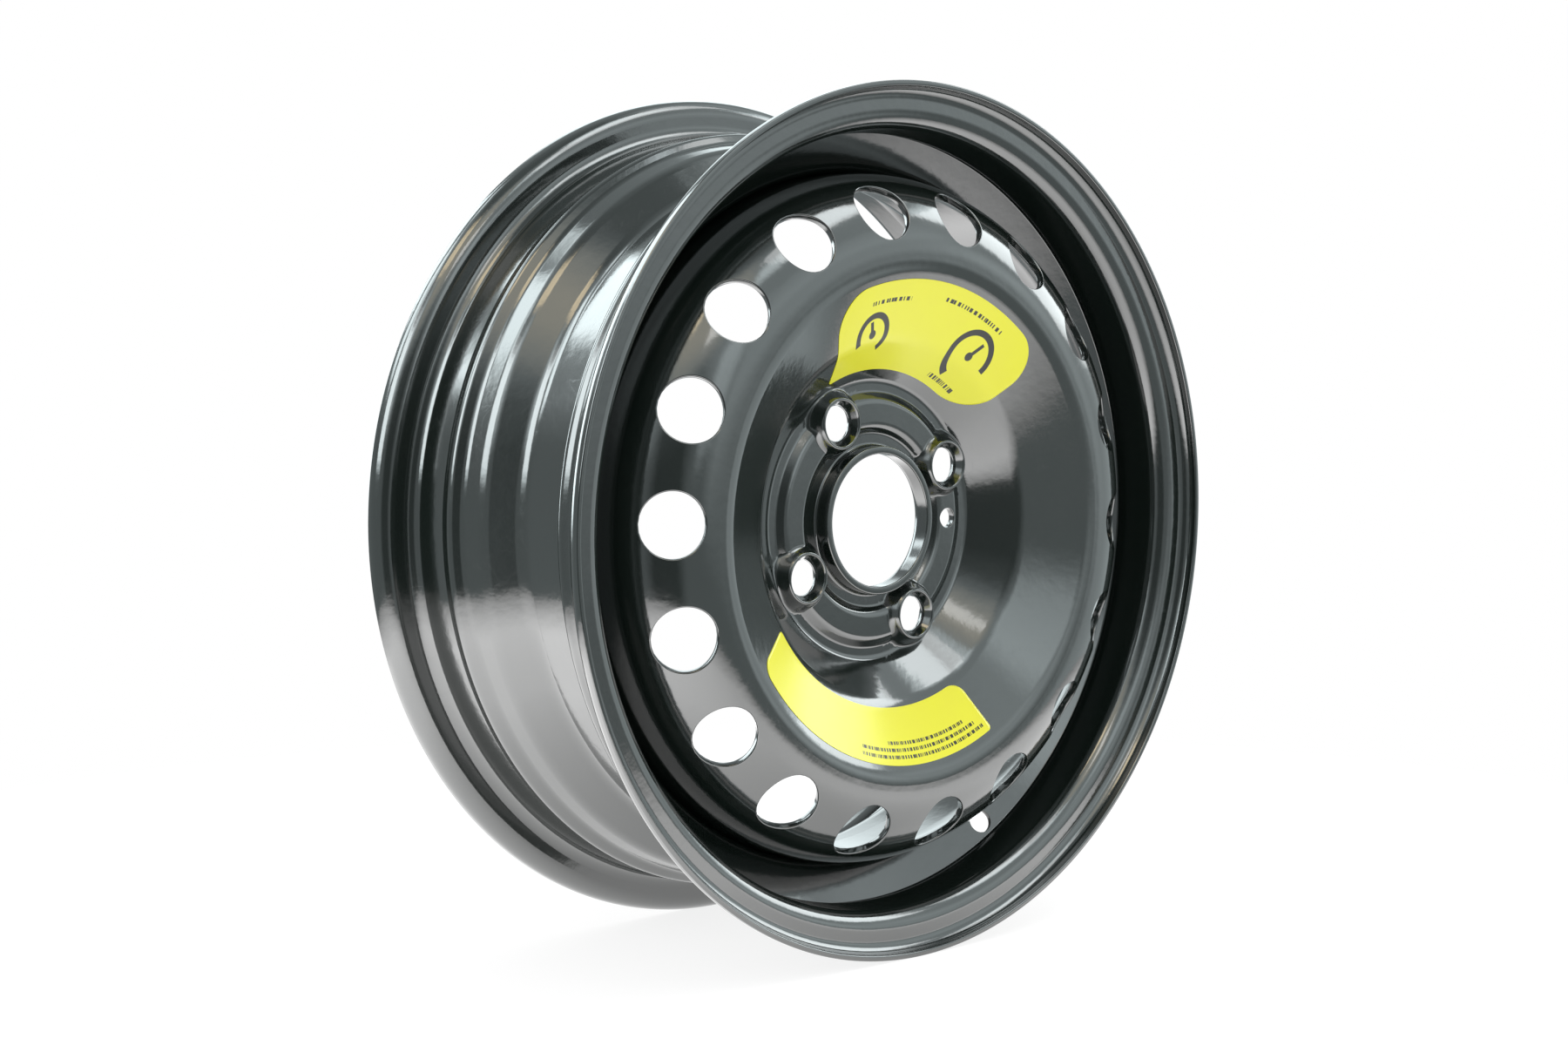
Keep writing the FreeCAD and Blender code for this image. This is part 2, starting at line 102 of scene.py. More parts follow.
class Strip:
    """A bent sheet's section: its face line, and its back one gauge to the left of the line.
    A station is a corner of the face line: its radius, its place along the axle, and the bend's radius."""

    SAMPLES = 8000

    def __init__(self, stations, gauge, turn=6.0, facet=1.6):
        corners = [np.array(station[:2], float) for station in stations]
        runs = [unit(end - start) for start, end in zip(corners[:-1], corners[1:])]
        points, normals = [], []
        for number, (corner, station) in enumerate(zip(corners, stations)):
            before, after = runs[max(number - 1, 0)], runs[min(number, len(runs) - 1)]
            bend = math.atan2(left(before) @ after, before @ after)
            arm = math.copysign(station[2], bend)
            centre = corner - before * station[2] * math.tan(abs(bend) / 2) + arm * left(before)
            by_turn, by_facet = abs(math.degrees(bend)) / turn, abs(bend) * station[2] / facet
            steps = max(1, math.ceil(by_turn), math.ceil(by_facet))
            for step in range(steps + 1 if station[2] else 1):
                normal = turned(left(before), bend * step / steps)
                points.append(centre - arm * normal)
                normals.append(normal)
        self.face, self.normals = np.array(points), np.array(normals)
        self.back = self.face + gauge * self.normals
        lengths = np.linalg.norm(np.diff(self.face, axis=0), axis=1)
        self.along = np.concatenate([[0], np.cumsum(lengths)])

    def section(self, place, behind=False):
        """Radius and place along the axle, at a length along the face."""
        line = self.back if behind else self.face
        return np.interp(place, self.along, line[:, 0]), np.interp(place, self.along, line[:, 1])

    def surface(self, place, angle, behind=False):
        """The turned sheet's points, at lengths along the face and angles round the axle."""
        return round_axle(*self.section(place, behind), angle)

    def rows(self, start, end, longest):
        """Lengths along the face from start to end, one at each bend's facet and none further apart."""
        clear = 0.3
        inside = self.along[(self.along > start + clear) & (self.along < end - clear)]
        marks = np.concatenate([[start], inside, [end]])
        filled = [np.linspace(a, b, math.ceil((b - a) / longest), endpoint=False)
                  for a, b in zip(marks[:-1], marks[1:])]
        return np.concatenate([*filled, [end]])

    def nearest(self, radius, axle):
        """The length along the face of its point closest to a place in the section."""
        fine = np.linspace(0, self.along[-1], self.SAMPLES)
        found_radius, found_axle = self.section(fine)
        return fine[np.argmin((found_radius - radius) ** 2 + (found_axle - axle) ** 2)]

    def edge(self, at_end, size, angles):
        """The sheet's rounded cut edge, carried round the axle from face to back."""
        tip = -1 if at_end else 0
        outward = unit(self.face[tip] - self.face[-2 if at_end else 1])
        across = unit(self.back[tip] - self.face[tip])
        first, second = [], []
        for turn in np.radians(np.linspace(0, 90, 5)):
            sine, cosine = math.sin(turn), math.cos(turn)
            first.append(self.face[tip] + size * (across * (1 - cosine) + outward * (sine - 1)))
            second.append(self.back[tip] + size * (across * (sine - 1) + outward * (cosine - 1)))
        line = np.array(first + second)
        return round_axle(line[:, :1], line[:, 1:], angles[None, :])

    def directions(self, mesh):
        """How a mesh is shaded: points on the sheet's two faces take the section's own direction."""
        close, alike = 0.03, 0.8
        points = np.array([corner.co for corner in mesh.vertices]) / MM
        shaded = np.array([corner.normal for corner in mesh.vertices])
        radius, angle = np.hypot(points[:, 0], points[:, 2]), np.arctan2(points[:, 2], points[:, 0])
        places = np.linspace(0, self.along[-1], self.SAMPLES)
        out, along_axle = (np.interp(places, self.along, part) for part in self.normals.T)
        for behind, side in ((False, -1), (True, 1)):
            line = KDTree(len(places))
            for number, (line_radius, line_axle) in enumerate(zip(*self.section(places, behind))):
                line.insert((line_radius, line_axle, 0), number)
            line.balance()
            found = [line.find((*spot, 0))[1:] for spot in zip(radius, points[:, 1])]
            number, away = (np.array(column) for column in zip(*found))
            exact = side * round_axle(out[number], along_axle[number], angle)
            on_face = (away < close) & ((exact * shaded).sum(axis=1) > alike)
            shaded[on_face] = exact[on_face]
        return shaded.tolist()


def round_axle(radius, axle, angle):
    """Points, or directions, at a radius and a place along the axle, carried to an angle round it."""
    return np.stack(np.broadcast_arrays(radius * np.cos(angle), axle, radius * np.sin(angle)), axis=-1)


class Skin:
    """Gathers grids of points, in millimetres, into one closed mesh."""

    def __init__(self):
        self.points, self.quads = [], []

    def lay(self, grid, round_and_back=False):
        rows, columns = grid.shape[:2]
        first = len(self.points)
        self.points.extend((grid.reshape(-1, 3) * MM).tolist())
        for row in range(rows - 1):
            lower, upper = first + row * columns, first + (row + 1) * columns
            for column in range(columns if round_and_back else columns - 1):
                following = (column + 1) % columns
                self.quads.append((lower + column, lower + following, upper + following, upper + column))

    def piece(self, name, finish, slot, node, strip=None):
        """The finished piece, which stands for a CAD node and moves with the wheel. A strip shades it."""
        mesh = bpy.data.meshes.new(name)
        mesh.from_pydata(self.points, [], self.quads)
        work = bmesh.new()
        work.from_mesh(mesh)
        bmesh.ops.remove_doubles(work, verts=work.verts, dist=0.01 * MM)
        bmesh.ops.recalc_face_normals(work, faces=work.faces)
        for facet in work.faces:
            facet.smooth = True
        work.to_mesh(mesh)
        work.free()
        if strip:
            mesh.normals_split_custom_set_from_vertices(strip.directions(mesh))
        mesh.materials.append(finish)
        made = bpy.data.objects.new(name, mesh)
        bpy.context.collection.objects.link(made)
        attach(made, "root")
        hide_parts(node)


class Hole:
    """A round hole punched through a sheet; its middle is a length along the face and an angle."""

    def __init__(self, strip, place, angle, axis, surface=None):
        self.surface = surface or strip.surface
        self.middle, self.axis = (place, angle), axis
        self.centre = strip.surface(place, angle)
        aside = np.array([-math.sin(angle), 0.0, math.cos(angle)])
        self.sides = np.stack([aside, np.cross(axis, aside)])

    def spread(self, place, angle, behind):
        """How far points of the sheet lie from the axis, along the hole's two sides."""
        return (self.surface(place, angle, behind) - self.centre) @ self.sides.T

    def ring(self, radius, edge, behind):
        """Where the lines from a sector's edge to the hole's middle come within one radius of its axis."""
        near, far = np.zeros(len(edge[0])), np.ones(len(edge[0]))
        for _ in range(32):
            share = (near + far) / 2
            place, angle = (start + share * (end - start) for start, end in zip(self.middle, edge))
            inside = np.linalg.norm(self.spread(place, angle, behind), axis=-1) < radius
            near, far = np.where(inside, share, near), np.where(inside, far, share)
        return place, angle

    def punch(self, skin, rows, angles, front, back, hollow=()):
        """Lays the sector of sheet round the hole, both faces spread from the sector's edge to the hole.
        A face is its layers, its rings (radii on the sheet) and its wall (radius, depth past the last ring).
        A hollow goes on from the back's wall: radius, and level along the axis from the centre."""
        edge_place = np.concatenate([np.full(len(angles) - 1, rows[0]), rows[:-1],
                                     np.full(len(angles) - 1, rows[-1]), rows[:0:-1]])
        edge_angle = np.concatenate([angles[:-1], np.full(len(rows) - 1, angles[-1]),
                                     angles[:0:-1], np.full(len(rows) - 1, angles[0])])
        grid = []
        for behind, inward, (layers, rings, wall) in ((False, -1, front), (True, 1, back)):
            found = [self.ring(radius, (edge_place, edge_angle), behind) for radius in rings]
            face = []
            for share in (np.arange(layers) / layers) ** 0.8:
                face.append(self.surface(edge_place + share * (found[0][0] - edge_place),
                                         edge_angle + share * (found[0][1] - edge_angle), behind))
            face.extend(self.surface(*ring, behind) for ring in found)
            depth = (face[-1] - self.centre) @ self.axis
            outline = self.spread(*found[-1], behind) @ self.sides
            outline = outline / np.linalg.norm(outline, axis=-1)[:, None]
            for radius, deep in wall:
                face.append(self.centre + radius * outline + (depth + inward * deep)[:, None] * self.axis)
            if behind:
                face.extend(self.centre + radius * outline + level * self.axis for radius, level in hollow)
            grid.extend(reversed(face) if behind else face)
        skin.lay(np.array(grid), round_and_back=True)


rim_strip = Strip(RIM_STATIONS, RIM_GAUGE)
rim_end = rim_strip.along[-1] - LIP_ROUND
rim_angles = np.radians(VALVE_ANGLE - VALVE_SECTOR + 360 / RIM_COLUMNS * np.arange(RIM_COLUMNS))
valve_place = rim_strip.nearest(*VALVE_CENTRE)
valve_rows = rim_strip.rows(valve_place - VALVE_ROOM, valve_place + VALVE_ROOM, 1.5)
valve_columns = round(2 * VALVE_SECTOR * RIM_COLUMNS / 360)
past_valve = np.append(rim_angles[valve_columns:], rim_angles[0] + 2 * math.pi)

rim_skin = Skin()
for behind in (False, True):
    for start, end in ((LIP_ROUND, valve_rows[0]), (valve_rows[-1], rim_end)):
        rows = rim_strip.rows(start, end, 6.0)
        rim_skin.lay(rim_strip.surface(rows[:, None], rim_angles[None, :], behind), round_and_back=True)
    rim_skin.lay(rim_strip.surface(valve_rows[:, None], past_valve[None, :], behind))
for at_end in (False, True):
    rim_skin.lay(rim_strip.edge(at_end, LIP_ROUND, rim_angles), round_and_back=True)

slope_out, slope_back = left(unit(np.array([HUMP_RADIUS - WELL_RADIUS, -HUMP_PLACE - WELL_FRONT])))
valve_turn = math.radians(VALVE_ANGLE)
valve_hole = Hole(rim_strip, valve_place, valve_turn, round_axle(slope_out, slope_back, valve_turn))
valve_hole.punch(rim_skin, valve_rows, rim_angles[:valve_columns + 1],
                 (9, [VALVE_RADIUS + 0.5], [(VALVE_RADIUS + 0.15, 0.15), (VALVE_RADIUS, 0.5)]),
                 (9, [VALVE_RADIUS + 0.3], [(VALVE_RADIUS + 0.1, 0.1), (VALVE_RADIUS, 0.3)]))


class Value:
    """A socket of a finish; arithmetic on it adds Math nodes."""

    def __init__(self, finish, socket):
        self.finish, self.socket = finish, socket

    def other(self, output):
        """Another output of the same node."""
        return Value(self.finish, self.socket.node.outputs[output])

    def math(self, operation, *values):
        return self.finish.node("ShaderNodeMath", {"operation": operation}, dict(enumerate(values)))

    def __add__(self, other):
        return self.math("ADD", self, other)

    __radd__ = __add__

    def __sub__(self, other):
        return self.math("SUBTRACT", self, other)

    def __rsub__(self, other):
        return self.math("SUBTRACT", other, self)

    def __mul__(self, other):
        return self.math("MULTIPLY", self, other)

    __rmul__ = __mul__

    def __truediv__(self, other):
        return self.math("DIVIDE", self, other)

    def __pow__(self, other):
        return self.math("POWER", self, other)

    def __abs__(self):
        return self.math("ABSOLUTE", self)

    def __and__(self, other):
        return self.math("MINIMUM", self, other)

    def __or__(self, other):
        return self.math("MAXIMUM", self, other)

    def past(self, limit, soft):
        """0 below a limit and 1 above it, over a soft edge."""
        return ((self - limit) / soft + 0.5) & 1 | 0


class Finish:
    """A material, or the studio's surroundings, made of nodes."""

    def __init__(self, tree):
        self.tree = tree
        tree.nodes.clear()

    def node(self, kind, settings, sockets, output=0):
        made = self.tree.nodes.new(kind)
        for name, setting in settings.items():
            setattr(made, name, setting)
        for name, value in sockets.items():
            if isinstance(value, Value):
                self.tree.links.new(value.socket, made.inputs[name])
            else:
                made.inputs[name].default_value = value
        return Value(self, made.outputs[output]) if made.outputs else None

    def blend(self, share, first, second):
        """One colour passing into another."""
        return self.node("ShaderNodeMix", {"data_type": "RGBA"}, {0: share, 6: first, 7: second}, 2)

    def noise(self, place, scale, detail, **sockets):
        named = {"Vector": place, "Scale": scale, "Detail": detail, **sockets}
        return self.node("ShaderNodeTexNoise", {}, named)


def new_finish(name):
    material = bpy.data.materials.new(name)
    material.use_nodes = True
    return material, Finish(material.node_tree)


# The finish of all steel: black dip paint, stoved to a gloss with a little orange peel,
# thin dust on it and fine handling scuffs that dull the shine in places.
PAINT_BLACK = (0.0080, 0.0125, 0.0105, 1)
PAINT_DUST = (0.045, 0.045, 0.042, 1)
PAINT_IOR = 2.0
black_paint, paint = new_finish("black_stove_paint")
place = paint.node("ShaderNodeTexCoord", {}, {}, "Object")
peel = paint.noise(place, 260.0, 2.0, Roughness=0.5)
waves = paint.noise(place, 38.0, 2.0, Roughness=0.5)
cloud = paint.noise(place, 14.0, 5.0, Roughness=0.65)
grain = paint.noise(place, 900.0, 3.0, Roughness=0.7)
scuff_line = paint.noise(place, 30.0, 8.0, Distortion=1.5)
dust = cloud.past(0.58, 0.3) * grain.past(0.55, 0.25) * 0.2
scuff = (1 - abs(scuff_line - 0.5) * 160).past(0.5, 0.8) * cloud.past(0.5, 0.2)
tint = paint.blend(dust, PAINT_BLACK, PAINT_DUST)
sheen = cloud * 0.05 + grain * 0.02 + scuff * 0.1 + dust * 0.25 + 0.07
height = peel * 0.35 + waves * 1.4
relief = paint.node("ShaderNodeBump", {}, {"Height": height, "Strength": 0.05, "Distance": 0.002})
gloss = paint.node("ShaderNodeBsdfPrincipled", {}, {
    "Base Color": tint, "Roughness": sheen, "IOR": PAINT_IOR, "Normal": relief})
paint.node("ShaderNodeOutputMaterial", {}, {"Surface": gloss})

rim_skin.piece("rolled_rim", black_paint, "black_paint", "rim", rim_strip)

# Wheel disc
# The centre, pressed from one steel blank: a turned-up bore collar, a flat hub pad with four bolt bosses,
# a bowl, a crown with a ring of vents, and an outer flange pressed into the rim. Painted with the rim.
DISC_COLUMNS = 216
STEP = 360 / DISC_COLUMNS
DISC_GAUGE = 3.5
EDGE_ROUND = 0.7
COLLAR_RADIUS, COLLAR_TIP = 33.55, -47.0
PAD_FACE, PAD_START = -39.5, 35.1
RIB_FACE, RIB_INNER, RIB_OUTER, RIB_SLOPE = -42.5, 42.5, 54.0, 3.0
GROOVE_START, GROOVE_END = 58.0, 63.0
BOWL_FOOT, BOWL_KNEE = (72.0, -47.8), (82.0, -57.0)
CROWN_FACE, CROWN_START = -73.0, 113.5
PRESS_GAP, SHOULDER_BEND = 0.05, 37.0
FLANGE_RADIUS, FLANGE_END = WELL_RADIUS - RIM_GAUGE - PRESS_GAP, -9.0
DISC_STATIONS = [
    (COLLAR_RADIUS, COLLAR_TIP, 0),
    (COLLAR_RADIUS, PAD_FACE, 1.5),
    (RIB_INNER - RIB_SLOPE, PAD_FACE, 2.2),
    (RIB_INNER, RIB_FACE, 5),
    (RIB_OUTER, RIB_FACE, 5),
    (GROOVE_START, PAD_FACE, 2.2),
    (GROOVE_END, PAD_FACE, 4),
    (*BOWL_KNEE, 25),
    (CROWN_START, CROWN_FACE, 15),
    (FLANGE_RADIUS, CROWN_FACE, SHOULDER_BEND),
    (FLANGE_RADIUS, FLANGE_END, 0),
]
BOLTS, BOLT_CIRCLE, BOLT_START, BOLT_SECTOR = 4, 50.0, 28.1, 20.0
BOLT_HOLE, SEAT_FOOT = 8.0, -42.3
SEAT_MOUTH, CREST_OUTER, BOSS_FACE = 10.42, 11.4, -46.5
FLANK_RUN, FLANK_STEEPNESS = 28.6, 1.768
BOSS_STATIONS = [
    (BOLT_HOLE, SEAT_FOOT, 0),
    (SEAT_MOUTH, BOSS_FACE, 0.4),
    (CREST_OUTER, BOSS_FACE, 0.8),
    (CREST_OUTER + FLANK_RUN, BOSS_FACE + FLANK_RUN * FLANK_STEEPNESS, 0),
]
BOSS_BLEND, BOSS_FADE, BOSS_FOOT = 2.2, 2.4, 14.4
HOLLOW_RADIUS, HOLLOW_FLOOR = 12.0, -41.0
VENTS, VENT_RADIUS, VENT_START, VENT_ROOM = 18, 14.0, 17.7, 18.2
VENT_TILT = math.radians(34.0)
VENT_CENTRE = (FLANGE_RADIUS - SHOULDER_BEND * (1 - math.sin(VENT_TILT)),
               CROWN_FACE + SHOULDER_BEND * (1 - math.cos(VENT_TILT)))
DOWEL_RADIUS, DOWEL_CIRCLE, DOWEL_ANGLE = 4.5, 47.8, -1.5
DOWEL_SECTOR, DOWEL_INNER, DOWEL_OUTER = 20.0, (40.5, -40.5), (55.0, -41.7)

disc_strip = Strip(DISC_STATIONS, DISC_GAUGE, turn=9.0)
boss_strip = Strip(BOSS_STATIONS, 0.0)
bolt_angles = np.radians(BOLT_START + 360 / BOLTS * np.arange(BOLTS))


def disc_surface(place, angle, behind=False):
    """The pressed sheet; on its outboard face the bolt bosses rise out of the pad with a soft foot."""
    point = disc_strip.surface(place, angle, behind)
    if behind:
        return point
    radius = np.hypot(point[..., 0], point[..., 2])
    rise = np.clip((radius - PAD_START) / BOSS_FADE, 0, 1)
    for bolt in bolt_angles:
        bolt_right, bolt_up = BOLT_CIRCLE * math.cos(bolt), BOLT_CIRCLE * math.sin(bolt)
        out = np.hypot(point[..., 0] - bolt_right, point[..., 2] - bolt_up)
        boss = np.interp(out, boss_strip.face[:, 0], boss_strip.face[:, 1])
        sheet = point[..., 1]
        share = np.clip(0.5 + 0.5 * (sheet - boss) / BOSS_BLEND, 0, 1)
        joined = (boss - sheet) * share - BOSS_BLEND * share * (1 - share)
        point[..., 1] = np.where(out < CREST_OUTER - 0.2, boss, sheet + joined * rise)
    return point


hub_edge, hub_rim = disc_strip.nearest(PAD_START, PAD_FACE), disc_strip.nearest(*BOWL_FOOT)
vent_place = disc_strip.nearest(*VENT_CENTRE)
vent_edge, vent_rim = vent_place - VENT_ROOM, vent_place + VENT_ROOM
hub_angles = np.radians(BOLT_START - BOLT_SECTOR + STEP * np.arange(DISC_COLUMNS))
vent_angles = np.radians(VENT_START - 180 / VENTS + STEP * np.arange(DISC_COLUMNS))
collar_rows = disc_strip.rows(EDGE_ROUND, hub_edge, 3.0)
hub_rows = disc_strip.rows(hub_edge, hub_rim, 1.8)
bowl_rows = disc_strip.rows(hub_rim, vent_edge, 3.0)
vent_rows = disc_strip.rows(vent_edge, vent_rim, 2.6)
flange_rows = disc_strip.rows(vent_rim, disc_strip.along[-1] - EDGE_ROUND, 6.0)
bowl_share = ((bowl_rows - hub_rim) / (vent_edge - hub_rim))[:, None]
bowl_angles = hub_angles + bowl_share * (vent_angles - hub_angles)

disc_skin = Skin()
for rows, angles in ((collar_rows, hub_angles), (bowl_rows, bowl_angles), (flange_rows, vent_angles)):
    for behind in (False, True):
        disc_skin.lay(disc_surface(rows[:, None], angles, behind), round_and_back=True)
for at_end, angles in ((False, hub_angles), (True, vent_angles)):
    disc_skin.lay(disc_strip.edge(at_end, EDGE_ROUND, angles), round_and_back=True)

for vent in range(VENTS):
    turn = math.radians(VENT_START + 360 / VENTS * vent)
    angles = turn + np.radians(np.linspace(-180 / VENTS, 180 / VENTS, round(360 / VENTS / STEP) + 1))
    axis = round_axle(math.sin(VENT_TILT), -math.cos(VENT_TILT), turn)
    hole = Hole(disc_strip, vent_place, turn, axis, disc_surface)
    rounded = [(VENT_RADIUS + 0.34, 0.09), (VENT_RADIUS + 0.1, 0.32), (VENT_RADIUS, 0.7)]
    hole.punch(disc_skin, vent_rows, angles,
               (6, [VENT_RADIUS + 1.2, VENT_RADIUS + 0.7], rounded),
               (4, [VENT_RADIUS + 0.3], [(VENT_RADIUS + 0.08, 0.08), (VENT_RADIUS, 0.3)]))

outboard = np.array([0.0, -1.0, 0.0])
bolt_place = disc_strip.nearest(BOLT_CIRCLE, RIB_FACE)
boss_rings = [*np.linspace(BOSS_FOOT, CREST_OUTER + 0.2, 5), *np.linspace(CREST_OUTER, SEAT_MOUTH - 0.82, 7),
              *np.linspace(SEAT_MOUTH - 1.22, BOLT_HOLE, 3)]
floor = RIB_FACE - HOLLOW_FLOOR
for bolt in bolt_angles:
    angles = bolt + np.radians(np.linspace(-BOLT_SECTOR, BOLT_SECTOR, round(2 * BOLT_SECTOR / STEP) + 1))
    hole = Hole(disc_strip, bolt_place, bolt, outboard, disc_surface)
    hole.punch(disc_skin, hub_rows, angles,
               (12, boss_rings, [(BOLT_HOLE, 0.3)]),
               (34, [HOLLOW_RADIUS + 0.5], [(HOLLOW_RADIUS + 0.15, 0.1), (HOLLOW_RADIUS, 0.5)]),
               [(HOLLOW_RADIUS, floor - 0.3), (HOLLOW_RADIUS - 0.3, floor), (BOLT_HOLE, floor)])

# Between the bosses the pad is plain, but for the locating hole just short of the first bolt.
between = 360 / BOLTS - 2 * BOLT_SECTOR
dowel_steps = round(DOWEL_SECTOR / STEP)
pads = [bolt + np.radians(np.linspace(BOLT_SECTOR, BOLT_SECTOR + between, round(between / STEP) + 1))
        for bolt in bolt_angles]
beside_dowel = pads[-1][-dowel_steps - 1:]
pads[-1] = pads[-1][:-dowel_steps]
inner, outer = (np.searchsorted(hub_rows, disc_strip.nearest(*place)) for place in (DOWEL_INNER, DOWEL_OUTER))
plain = [(hub_rows, pad) for pad in pads]
plain += [(hub_rows[:inner + 1], beside_dowel), (hub_rows[outer:], beside_dowel)]
for rows, angles in plain:
    for behind in (False, True):
        disc_skin.lay(disc_surface(rows[:, None], angles[None, :], behind))
dowel_place = disc_strip.nearest(DOWEL_CIRCLE, RIB_FACE)
dowel = Hole(disc_strip, dowel_place, math.radians(DOWEL_ANGLE + 360), outboard, disc_surface)
dowel.punch(disc_skin, hub_rows[inner:outer + 1], beside_dowel,
            (9, [DOWEL_RADIUS + 0.4], [(DOWEL_RADIUS + 0.1, 0.1), (DOWEL_RADIUS, 0.4)]),
            (9, [DOWEL_RADIUS + 0.3], [(DOWEL_RADIUS + 0.06, 0.06), (DOWEL_RADIUS, 0.3)]))

disc_skin.piece("pressed_disc", black_paint, "black_paint", "wheel_disc", disc_strip)

# Weld runs
# Eight arc-welded fillets that fix the disc's flange end to the inside of the rim's well, laid by a moving
# torch, so each run is rippled and tapers where the arc was struck and broken. Painted over with the wheel.
WELDS, WELD_SPREAD, WELD_LEG = 8, 26.0, 3.2
WELD_RADIUS, WELD_PLACE = WELL_RADIUS - RIM_GAUGE, FLANGE_END
RIPPLE, RIPPLE_PITCH, RIPPLE_BOW = 0.16, 0.84, 0.18
weld_steps = np.linspace(-0.5, 0.5, 141)
weld_ends = np.sqrt(np.clip(1 - (np.abs(weld_steps) * 2) ** 8, 0, 1)) * 0.97 + 0.03
weld_skin = Skin()
for weld in range(WELDS):
    angles = np.radians(360 / WELDS * weld + WELD_SPREAD * weld_steps)
    corner = round_axle(WELD_RADIUS, WELD_PLACE, angles)
    body = [corner]
    for turn in np.radians(np.linspace(180, 270, 9)):
        bow = RIPPLE_BOW * math.cos(2 * (turn - math.radians(225)))
        wave = np.sin((WELD_SPREAD * weld_steps + bow) / RIPPLE_PITCH * 2 * math.pi)
        bulge = 0.86 + 0.1 * abs(math.cos(2 * turn))
        size = (WELD_LEG - RIPPLE * (0.5 + 0.5 * wave)) * weld_ends * bulge
        radius, axle = WELD_RADIUS + size * math.cos(turn), WELD_PLACE - size * math.sin(turn)
        body.append(round_axle(radius, axle, angles))
    body = np.array([*body, corner])
    weld_skin.lay(body)
    for end in (0, -1):
        weld_skin.lay(np.array([body[:, end], np.broadcast_to(corner[end], body[:, end].shape)]))
weld_skin.piece("weld_runs", black_paint, "black_paint", "weld_beads")

# Labels
# Two die-cut yellow vinyl stickers, laid on the painted bowl above and below the hub, with plain dark print.
# They are a fifth of a millimetre thick and follow the bowl's curve.
VINYL_THICK = 0.2
LABEL_OUTER = 108.2
UPPER_LABEL = dict(inner=68.3, start=41.0, end=116.5, start_rounds=(19, 19), end_rounds=(19, 2))
LOWER_LABEL = dict(inner=83.6, start=211.3, end=296.7, start_rounds=(7, 2), end_rounds=(2, 7))
LABEL_ROWS, LABEL_COLUMNS = 49, 121
YELLOW = (0.88, 0.87, 0.04, 1)
YELLOW_WORN = (0.86, 0.83, 0.05, 1)
PRINT_DARK = (0.02, 0.022, 0.02, 1)
VINYL_IOR = 1.45


def label_skin(inner, start, end, start_rounds, end_rounds):
    """A sticker on the bowl: rows from its inner edge to its outer one, shortened where a corner is round.
    Each end's rounds are its outer corner's and its inner corner's."""
    lengths = np.linspace(0, disc_strip.along[-1], Strip.SAMPLES)
    radii = disc_strip.section(lengths)[0]
    first, last = (lengths[np.searchsorted(radii, edge)] for edge in (inner, LABEL_OUTER))
    easing = 0.5 - 0.5 * np.cos(np.linspace(0, math.pi, LABEL_ROWS))
    skin = Skin()
    sheets = []
    for lift in (0.0, VINYL_THICK / DISC_GAUGE):
        sheet = []
        for place in first + (last - first) * easing:
            face, back = np.array(disc_strip.section(place)), np.array(disc_strip.section(place, True))
            inset = []
            for rounds in (start_rounds, end_rounds):
                short = [max(size - near, 0) for size, near in zip(rounds, (last - place, place - first))]
                shy = [size - math.sqrt(size ** 2 - by ** 2) for size, by in zip(rounds, short)]
                inset.append(max(shy) / face[0])
            angles = np.linspace(math.radians(start) + inset[0], math.radians(end) - inset[1], LABEL_COLUMNS)
            sheet.append(round_axle(*(face - lift * (back - face)), angles))
        sheets.append(np.array(sheet))
        skin.lay(sheets[-1])
    under, over = sheets
    for edge in (np.s_[0], np.s_[-1], np.s_[:, 0], np.s_[:, -1]):
        skin.lay(np.array([under[edge], over[edge]]))
    return skin


def dial(across, up, centre, radius, needle):
    """A plain gauge mark: three quarters of a ring, open below, with a needle."""
    beside, above = across - centre[0], up - centre[1]
    out = (beside * beside + above * above) ** 0.5
    ring = 1 - abs(out - radius).past(1.4, 0.25)
    open_below = (above + abs(beside) * 0.9).past(0.0, 0.3)
    lean = math.radians(needle)
    along = beside * math.cos(lean) + above * math.sin(lean)
    aside = abs(above * math.cos(lean) - beside * math.sin(lean))
    pointer = (1 - aside.past(0.9, 0.25)) * along.past(0.0, 0.3) * (1 - along.past(radius * 0.72, 0.3))
    hub = 1 - out.past(2.0, 0.25)
    return ring * open_below | pointer | hub


def print_row(out, angle, line, half_height, start, end, letter, seed):
    """A row of fine dashes along an arc, broken into uneven lengths."""
    dashes = out.finish.node("ShaderNodeTexNoise", {"noise_dimensions": "1D"},
                             {"W": angle * letter + seed, "Scale": 1.0, "Detail": 0.0})
    on_line = 1 - abs(out - line).past(half_height, 0.2)
    inside = angle.past(start, 0.1) * (1 - angle.past(end, 0.1))
    return on_line * inside * dashes.past(0.47, 0.06)


def upper_print(across, up, out, angle):
    return (dial(across, up, (-17.5, 83.5), 8.6, 118.0)
            | dial(across, up, (44.0, 73.5), 11.0, 40.0)
            | print_row(out, angle, 99.6, 0.9, 90.0, 104.0, 1.1, 3.0)
            | print_row(out, angle, 101.5, 0.9, 56.0, 78.0, 1.1, 9.0)
            | print_row(out, angle, 72.0, 0.9, 52.0, 66.0, 1.2, 5.0))


def lower_print(across, up, out, angle):
    angle = angle + 360
    return (print_row(out, angle, 104.6, 0.75, 252.0, 295.0, 2.2, 2.0)
            | print_row(out, angle, 101.6, 0.75, 252.0, 293.0, 2.2, 17.0)
            | print_row(out, angle, 98.6, 0.75, 262.0, 290.0, 2.2, 31.0))


